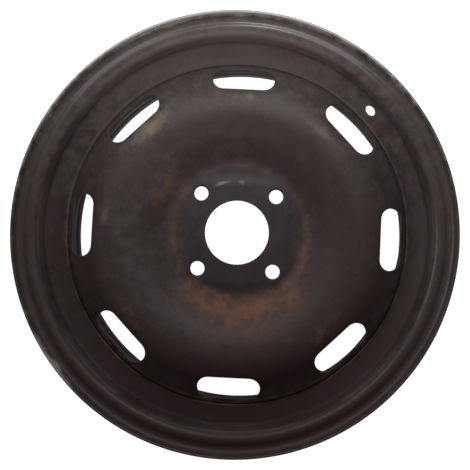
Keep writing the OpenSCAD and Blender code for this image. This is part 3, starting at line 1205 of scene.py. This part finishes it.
    def dress(self, piece: Piece, weather: Weather) -> None:
        """Gives the disc its masks of rust, dusting and rubbing, and of painted light and shade.

        The patches lie on the front, and pale paint in the seam round the skirt is painted light that lifts
        its shade. Behind there is a little rust, and painted shade where the slots show it, with the
        reflection dulled.
        The openings' edges are rubbed.

        Args:
            piece: The disc.
            weather: Where it has rust, dusting and rubbed spots, and where light and shade are painted on it.
        """
        x, y, z = mesh_points(piece).T
        r, angle = np.hypot(x, y), np.arctan2(y, x)
        up = mesh_normals(piece)[:, 2]
        shoulder = clamp(outward_share(piece, angle)) * (r > self.skirt_radius - weather.shoulder_width)
        front = clamp(FACE_SHARPNESS * (up + shoulder))
        seam = shoulder**weather.seam_power
        gaps = np.min([np.abs(hole.gap(x, y)) for hole, _ in self.holes()], axis=0)
        openings = weather.worn_openings * bell(gaps, weather.opening_width) * (z > 0.0)
        bore = weather.worn_bore * around(r, self.bore_radius, weather.bore_width)
        below = 1.0 - towards(angle, *DISC_TOP)
        inside = below * (1.0 - front) * (r > self.skirt_radius - weather.inside_width)
        paint_masks(
            piece,
            rust=weather.total(weather.rust, r, angle) * front + weather.rust_behind * (1.0 - front),
            # Dusting and painted light on the front, and pale paint in the seam as painted light.
            dust=weather.total(weather.dust, r, angle) * front + weather.dust_seam * seam,
            # Rubbed openings and bore, and the plateau's painted highlight.
            wear=weather.total(weather.wear, r, angle) * front + openings + bore,
            # Painted shade on the front, and inside below the top.
            grime=weather.total(weather.grime, r, angle) * front + weather.grime_inside * inside,
            # The plateau's bluish tint with painted shade, and painted shade inside.
            soot=weather.total(weather.soot, r, angle) * front + weather.soot_inside * inside,
            matt=weather.matt_inside * inside * towards(angle, *DARK_SLOTS),
        )


@dataclass
class Welds:
    """The fillet welds that hold the skirt in the well: rippled beads with rounded ends."""

    corner_radius: float
    corner_z: float
    leg: float = 3.2
    count: int = 8
    half_angle_deg: float = 6.5
    ripples: int = 26
    ripple_depth: float = 0.07
    along: int = 157
    across: int = 11
    end_power: int = 12
    rust: float = 0.35
    sharp_deg: float = 50.0

    @classmethod
    def from_frame(cls) -> Welds:
        """Takes the corner from the welds' box: its outer edge and its upper face."""
        _, high = (np.array(corner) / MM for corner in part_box("welds"))
        return cls(high[0] / math.cos(math.radians(180.0 / cls.count - cls.half_angle_deg)), high[2])

    def bead(self, middle: float) -> Array:
        """One bead as a grid.

        Args:
            middle: Direction of the bead's middle, in radians.

        Returns:
            A quarter-round section in the corner, carried round the axis. Its size swells in overlapping
            ripples, the arch |sin|, and falls to nothing at both ends along a blunt curve.
        """
        share = np.linspace(-1.0, 1.0, self.along)[:, None]
        ripple = 1.0 - self.ripple_depth * (1.0 - np.abs(np.sin(share * self.ripples * math.pi / 2.0)))
        size = self.leg * ripple * np.sqrt(clamp(1.0 - share**self.end_power))
        turn = np.linspace(math.pi, 1.5 * math.pi, self.across)
        r = self.corner_radius + size * np.cos(turn)
        z = self.corner_z + size * np.sin(turn)
        r = np.hstack((0.0 * share + self.corner_radius, r, 0.0 * share + self.corner_radius))
        z = np.hstack((0.0 * share + self.corner_z, z, 0.0 * share + self.corner_z))
        angle = middle + share * math.radians(self.half_angle_deg)
        return np.stack((r * np.cos(angle), r * np.sin(angle), z), axis=-1)

    def build(self) -> Piece:
        """Builds the beads.

        Returns:
            One piece of separate beads, evenly spaced.
        """
        quilt = Quilt()
        for middle in (np.arange(self.count) + 0.5) * (2.0 * math.pi / self.count):
            quilt.add(self.bead(middle))
        return quilt.make("weld_beads", self.sharp_deg)

    def dress(self, piece: Piece) -> None:
        """Masks: rust over the beads, and nothing else."""
        none = np.zeros(len(piece.data.vertices))
        paint_masks(piece, rust=none + self.rust, dust=none, wear=none, grime=none, soot=none, matt=none)


# The studio


@dataclass(frozen=True)
class PhotoCamera:
    """The camera, worked out from the edges seen in the photograph.

    It stands over the wheel, right and down are as seen in the picture, and all lengths are millimetres.
    """

    wheel_top: float
    right: float = 23.17
    down: float = 14.02
    distance: float = 574.84
    tilt: float = -0.0465
    pan: float = 0.0059
    roll: float = 0.0490
    focal_px: float = 625.29
    middle_px: Span = (255.88, 217.23)
    clip_m: Span = (0.01, 100.0)

    def make(self) -> bpy.types.Object:
        """Makes the camera and gives it to the scene.

        Returns:
            The camera. Its axes are the picture's, turned by pan and tilt, then by the wheel's roll.
        """
        ct, st, cp, sp = math.cos(self.tilt), math.sin(self.tilt), math.cos(self.pan), math.sin(self.pan)
        tilted = np.array([[1.0, 0.0, 0.0], [0.0, ct, -st], [0.0, st, ct]])
        panned = np.array([[cp, 0.0, sp], [0.0, 1.0, 0.0], [-sp, 0.0, cp]])
        c, s = math.cos(self.roll), math.sin(self.roll)
        to_wheel = np.array([[c, s, 0.0], [s, -c, 0.0], [0.0, 0.0, -1.0]])
        right, down, ahead = (panned @ tilted) @ to_wheel.T
        place = to_wheel @ np.array([self.right, self.down, -self.distance])
        place[2] += self.wheel_top
        data = bpy.data.cameras.new("photo_camera")
        data.sensor_width = SENSOR_MM
        data.lens = self.focal_px / IMAGE_PX * SENSOR_MM
        data.shift_x = 0.5 - self.middle_px[0] / IMAGE_PX
        data.shift_y = self.middle_px[1] / IMAGE_PX - 0.5
        data.clip_start, data.clip_end = self.clip_m
        camera = bpy.data.objects.new("photo_camera", data)
        turn = np.column_stack((right, -down, -ahead))
        camera.matrix_world = Matrix.Translation(place * MM) @ Matrix(turn.tolist()).to_4x4()
        bpy.context.scene.collection.objects.link(camera)
        bpy.context.scene.camera = camera
        return camera


@dataclass(frozen=True)
class SoftLight:
    """A square soft box that faces the wheel. Lengths are metres."""

    name: str
    place: tuple[float, float, float]
    size: float
    watts: float
    aim: tuple[float, float, float] = (0.0, 0.0, 0.0)
    mirrored: bool = True

    def make(self) -> None:
        """Makes the light at its place, turned to face its aim and left out of the picture itself."""
        data = bpy.data.lights.new(self.name, "AREA")
        data.shape, data.size, data.energy = "SQUARE", self.size, self.watts
        light = bpy.data.objects.new(self.name, data)
        place = np.array(self.place)
        light.matrix_world = Matrix.Translation(place) @ facing(unit(place - np.array(self.aim)))
        light.visible_camera, light.visible_glossy = False, self.mirrored
        bpy.context.scene.collection.objects.link(light)


def facing(away: Array) -> Matrix:
    """Turn of a lamp that stands in the given direction and shines back along it, also from straight above."""
    nearly_up = np.array([0.0, 0.0, 1.0]) + 1e-3
    side = unit(np.cross(nearly_up, away))
    return Matrix(np.column_stack((side, np.cross(away, side), away)).tolist()).to_4x4()


@dataclass(frozen=True)
class Studio:
    """Pale floor, soft lights and a dim even surround."""

    floor_z: float
    floor_half: float = 6.0
    surround: float = 0.237
    surround_tint: Colour = (1.0, 0.84, 0.82)
    lights: tuple[SoftLight, ...] = (
        SoftLight("key_left", (-0.16, 0.22, 0.26), 0.16, 0.245),
        SoftLight("key_right", (0.07, 0.25, 0.26), 0.16, 0.320),
        SoftLight("channel_light", (-0.01, 0.085, 0.20), 0.10, 0.17, (0.0, 0.26, 0.08), False),
        SoftLight("glint_light", (0.004, 0.31, 0.45), 0.06, 0.32, (0.0, 0.2, 0.06)),
        SoftLight("side_light", (-1.1, 0.2, 0.3), 0.5, 2.0),
    )

    def make(self) -> None:
        """Makes the floor, the lights and the surround."""
        corners = np.array([[-1.0, -1.0], [1.0, -1.0], [1.0, 1.0], [-1.0, 1.0]]) * self.floor_half
        mesh = bpy.data.meshes.new("floor")
        mesh.from_pydata(np.column_stack((corners, np.full(4, self.floor_z * MM))), [], [(0, 1, 2, 3)])
        mesh.materials.append(StudioFloor().make())
        floor = bpy.data.objects.new("floor", mesh)
        bpy.context.scene.collection.objects.link(floor)
        for light in self.lights:
            light.make()
        world = bpy.data.worlds.new("surround")
        world.use_nodes = True
        world.node_tree.nodes["Background"].inputs["Strength"].default_value = self.surround
        world.node_tree.nodes["Background"].inputs["Color"].default_value = (*self.surround_tint, 1.0)
        bpy.context.scene.world = world
        bpy.context.scene.view_settings.view_transform = "Standard"


def main() -> None:
    """Builds the wheel piece by piece, then the studio."""
    logging.basicConfig(level=logging.INFO, format="%(name)s %(message)s")
    mounts = {mount["name"]: mount for mount in frame["record"]["mounts"]}
    rim = Rim.from_frame(mounts)
    strip = rim.build()
    rim.dress(strip, RimWeather())
    place_on_wheel(strip, "rim", RIM_PAINT)
    disc = Disc.from_frame(mounts)
    pressing = disc.build()
    disc.dress(pressing, Weather())
    place_on_wheel(pressing, "disc", DISC_PAINT)
    welds = Welds.from_frame()
    beads = welds.build()
    welds.dress(beads)
    place_on_wheel(beads, "welds", WELD_PAINT)
    PhotoCamera(rim.top).make()
    Studio(rim.bottom).make()


if __name__ == "__main__":
    main()
